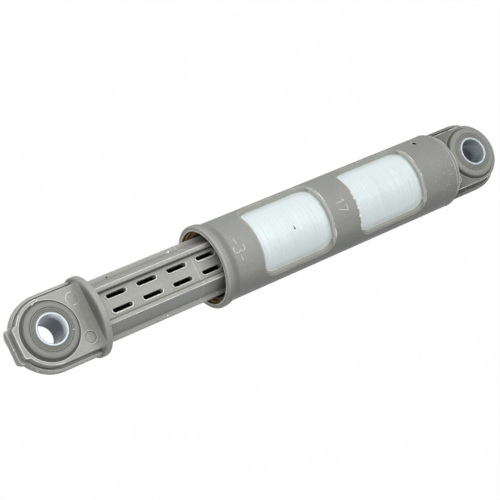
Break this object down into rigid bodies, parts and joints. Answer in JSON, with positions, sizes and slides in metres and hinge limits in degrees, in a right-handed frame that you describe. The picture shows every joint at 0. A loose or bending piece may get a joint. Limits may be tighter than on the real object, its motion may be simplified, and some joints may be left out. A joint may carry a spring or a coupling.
{
  "type": "washing machine shock absorber",
  "caption": "Friction damper with a slotted plunger that slides in a windowed plastic housing over a steel sleeve, with a rubber-bushed pin eye at each end.",
  "frame": {"origin": "centre of the bore in the housing's eye", "axes": "+X along the damper from the housing's eye to the plunger's eye, +Z along both pin bores, towards the viewer of the picture"},
  "size_m": [0.2209, 0.0316, 0.0316],
  "materials": {
    "housing_plastic": "satin",
    "plunger_plastic": "satin",
    "sleeve_steel": "satin",
    "liner_steel": "satin",
    "bush_rubber": "matte",
    "lining_foam": "matte"
  },
  "bodies": {
    "housing": {"housing": "housing_plastic", "sleeve": "sleeve_steel", "housing_bush": "bush_rubber", "housing_liner": "liner_steel"},
    "lining": {"friction_lining": "lining_foam"},
    "plunger": {"plunger": "plunger_plastic", "plunger_bush": "bush_rubber", "plunger_liner": "liner_steel"}
  },
  "joints": [
    {"name": "plunger_slide", "type": "slide", "parent": "housing", "child": "lining", "axis": [1, 0, 0], "range_m": [-0.0475, 0.024]},
    {"name": "plunger_turn", "type": "hinge", "parent": "lining", "child": "plunger", "pos_m": [0.0872, 0, 0], "axis": [1, 0, 0], "continuous": true}
  ]
}
